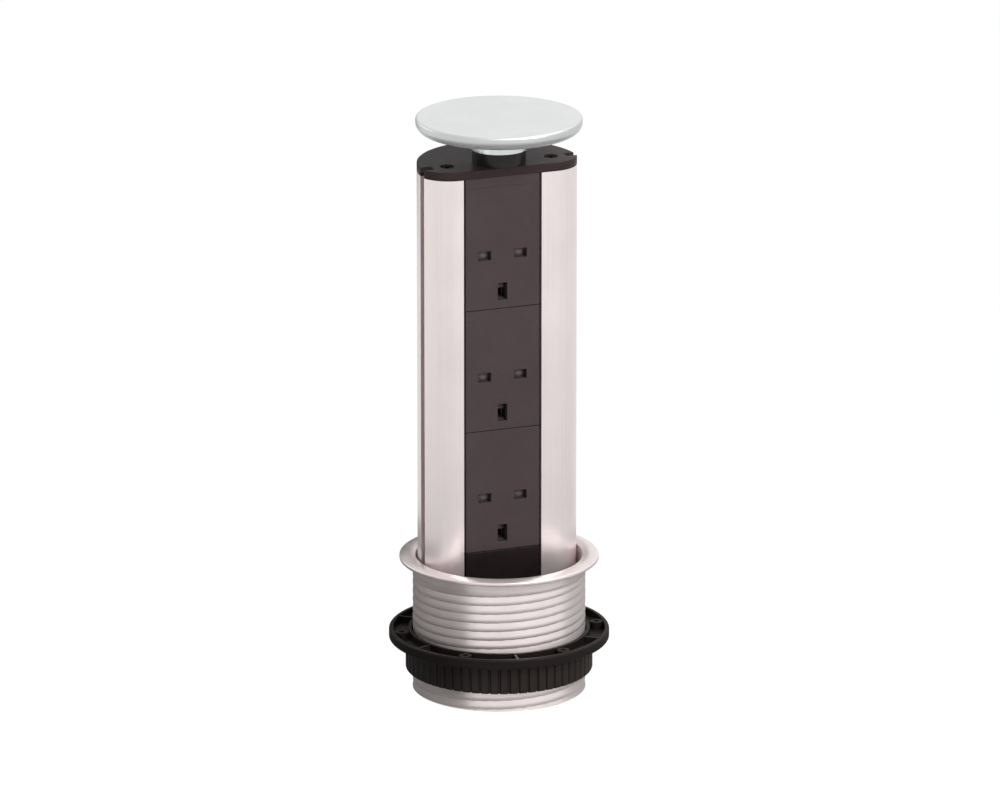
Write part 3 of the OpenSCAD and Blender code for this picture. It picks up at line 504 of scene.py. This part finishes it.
for n in (1, 2, 3):
    low = STACK_TOP - n * OUTLET_PITCH
    top = low + OUTLET_PITCH + (TOP_LAP if n == 1 else -SEAM / 2)
    pole, earth = low + POLE_Z, low + EARTH_Z
    halves = [FLANGE_HALF, FACE_HALF, POLE_X + POLE_SLOT[0] / 2, POLE_X - POLE_SLOT[0] / 2, EARTH_SLOT[0] / 2]
    xs = np.array([-x for x in halves] + halves[::-1])
    ys = np.array([-FACE_FRONT, -FLANGE_FRONT, -FACE_BACK])
    zs = np.array([
        low + SEAM / 2, earth - EARTH_SLOT[1] / 2, earth + EARTH_SLOT[1] / 2,
        pole - POLE_SLOT[1] / 2, pole + POLE_SLOT[1] / 2, top])
    # Empty cells: the room in front of both flanges, the pole slots and the earth slot
    solid = np.ones((len(xs) - 1, len(ys) - 1, len(zs) - 1), bool)
    solid[[0, -1], 0, :] = False
    solid[[2, 6], :, 3] = False
    solid[4, :, 1] = False
    face = shared_piece(
        f"outlet_face_{n}", *cell_surface(xs + PANEL_X, ys, zs, solid), outlet_plastic, "column", "dark_plastic",
        [f"socket_face_{n}"])
    soften(face, 0.3)

    spring_top = pole + SHUTTER_SPRING_HIGH
    points, faces = coil_surface(
        SHUTTER_SPRING_R, SHUTTER_WIRE_R, pole + SHUTTER_SPRING_LOW, spring_top, SHUTTER_SPRING_TURNS)
    points += np.array([PANEL_X, SHUTTER_SPRING_R + SHUTTER_WIRE_R + SPRING_GAP - FACE_BACK, 0])
    coil = shared_piece(
        f"shutter_coil_{n}", points, faces, zinc_steel, "column", "steel", [f"shutter_spring_{n}"], crease=60)
    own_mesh(coil)

points, faces = coil_surface(LID_SPRING_R, LID_WIRE_R, LID_SPRING_LOW, LID_SPRING_HIGH, LID_SPRING_TURNS)
coil = shared_piece("lid_coil", points, faces, zinc_steel, "column", "steel", ["lid_spring"], crease=60)
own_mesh(coil)


# Stage, light and camera, in metres and degrees

AZIMUTH, PITCH_DOWN, DISTANCE = -21.22, 16.69, 5.67
AIM_ASIDE, AIM_Z = 0.00056, 0.0961
FOCAL_PX, PICTURE_PX, SENSOR_MM = 9712, 1000, 36
FLOOR_Z = -0.36
FLOOR_CORNERS = ((-6, -6), (6, -6), (6, 9), (-6, 9))


def seen_rays(tree):
    """A socket that is 1 for what the camera sees, directly, in a reflection or through glass, and 0 for light."""
    ray = add(tree, "ShaderNodeLightPath")
    either = add(tree, "ShaderNodeMath", {
        0: ray.outputs["Is Camera Ray"], 1: ray.outputs["Is Glossy Ray"]}, operation="MAXIMUM")
    seen = add(tree, "ShaderNodeMath", {
        0: either.outputs[0], 1: ray.outputs["Is Transmission Ray"]}, operation="MAXIMUM")
    return seen.outputs[0]


floor_mesh = bpy.data.meshes.new("floor")
floor_mesh.from_pydata([(x, y, FLOOR_Z) for x, y in FLOOR_CORNERS], [], [(0, 1, 2, 3)])
floor = linked("floor", floor_mesh)
floor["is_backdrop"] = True

# Floor paint: white to the eye and in reflections, and it keeps the object's shadow
pale = bpy.data.materials.new("pale_floor")
tree = empty_tree(pale)
paint = add(tree, "ShaderNodeBsdfDiffuse", {"Color": hex_colour("F2F2F2")})
faint = add(tree, "ShaderNodeBsdfDiffuse", {"Color": hex_colour("606060")})
glow = add(tree, "ShaderNodeEmission", {"Color": hex_colour("FFFFFF"), "Strength": 0.965})
white = add(tree, "ShaderNodeAddShader", {0: faint.outputs[0], 1: glow.outputs[0]})
mixed = add(tree, "ShaderNodeMixShader", {0: seen_rays(tree), 1: paint.outputs[0], 2: white.outputs[0]})
add(tree, "ShaderNodeOutputMaterial", {"Surface": mixed.outputs[0]})
floor.data.materials.append(pale)

# The world is white to the eye and in reflections, and lights the object only faintly
world = bpy.data.worlds.new("studio")
scene.world = world
tree = empty_tree(world)
level = add(tree, "ShaderNodeMapRange", {"Value": seen_rays(tree), "To Min": 0.16, "To Max": 1.0})
sky = add(tree, "ShaderNodeBackground", {"Color": hex_colour("FFFFFF"), "Strength": level.outputs[0]})
add(tree, "ShaderNodeOutputWorld", {"Surface": sky.outputs[0]})


def softbox(name, place, size, power, aim=(0, 0, 0.1)):
    """A square area lamp at a place, turned to face the aim point."""
    data = bpy.data.lights.new(name, "AREA")
    data.size = size
    data.energy = power
    lamp = linked(name, data)
    lamp.location = place
    away = np.array(place) - np.array(aim)
    lamp.rotation_euler = (
        math.atan2(math.hypot(away[0], away[1]), away[2]), 0, math.atan2(away[1], away[0]) + math.pi / 2)


def flag(name, turns, low, high, level):
    """A card round the object, which gives rounded metal its darker and lighter sides: a strip of a cone between two
    (reach, height) edges and two directions, counted in degrees from the camera's. The camera looks past it."""
    angle = np.radians(np.linspace(*turns, 19) + AZIMUTH)
    edges = [upright(reach, angle - math.pi / 2, np.full_like(angle, height)) for reach, height in (low, high)]
    mesh = bpy.data.meshes.new(name)
    mesh.from_pydata(np.concatenate(edges).tolist(), [], grid_faces(2, len(angle)))
    card = linked(name, mesh)
    card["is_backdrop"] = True
    card.visible_camera = False
    card.visible_shadow = False
    grey = bpy.data.materials.new(name)
    tree = empty_tree(grey)
    glow = add(tree, "ShaderNodeEmission", {"Color": hex_colour("FFFFFF"), "Strength": level})
    add(tree, "ShaderNodeOutputMaterial", {"Surface": glow.outputs[0]})
    mesh.materials.append(grey)


softbox("key_light", (0.55, -2.2, 1.6), 1.2, 64)
softbox("front_light", (-1.5, -1.9, 0.5), 1.0, 3)
softbox("fill_light", (-1.4, 1.7, 0.6), 1.2, 6)
softbox("top_light", (1.3, -0.1, 2.2), 1.2, 14)
# Upright cards beside the collar and behind the column
flag("left_flag", (-165, -34), (0.14, -0.20), (0.14, -0.012), 0.12)
flag("right_flag", (80, 165), (0.14, -0.20), (0.14, -0.020), 0.30)
flag("rear_flag", (-182, -145), (0.75, 0.02), (0.75, 0.33), 0.0)
# Cards that lie just above the floor
flag("floor_flag", (-150, 20), (0.08, -0.35), (0.60, -0.35), 0.25)
flag("near_right_flag", (20, 150), (0.08, -0.35), (0.60, -0.35), 0.30)
flag("left_floor_flag", (-140, -45), (0.60, -0.35), (1.10, -0.35), 0.30)
flag("right_floor_flag", (78, 140), (0.60, -0.35), (1.00, -0.35), 0.12)
flag("front_floor_flag", (-42, 78), (0.60, -0.35), (1.00, -0.35), 0.28)
flag("wing_card", (-125, -40), (1.20, -0.355), (2.20, -0.355), 1.60)

camera = linked("camera", bpy.data.cameras.new("camera"))
scene.camera = camera
camera.data.sensor_width = SENSOR_MM
camera.data.lens = FOCAL_PX / PICTURE_PX * SENSOR_MM
camera.data.clip_end = 60
a, e = math.radians(AZIMUTH), math.radians(PITCH_DOWN)
back = np.array([math.sin(a) * math.cos(e), -math.cos(a) * math.cos(e), math.sin(e)])
beside = np.array([math.cos(a), math.sin(a), 0])
camera.location = np.array([0, 0, AIM_Z]) + beside * AIM_ASIDE + back * DISTANCE
camera.rotation_euler = (math.pi / 2 - e, 0, a)
scene.view_settings.view_transform = "Standard"

low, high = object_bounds()
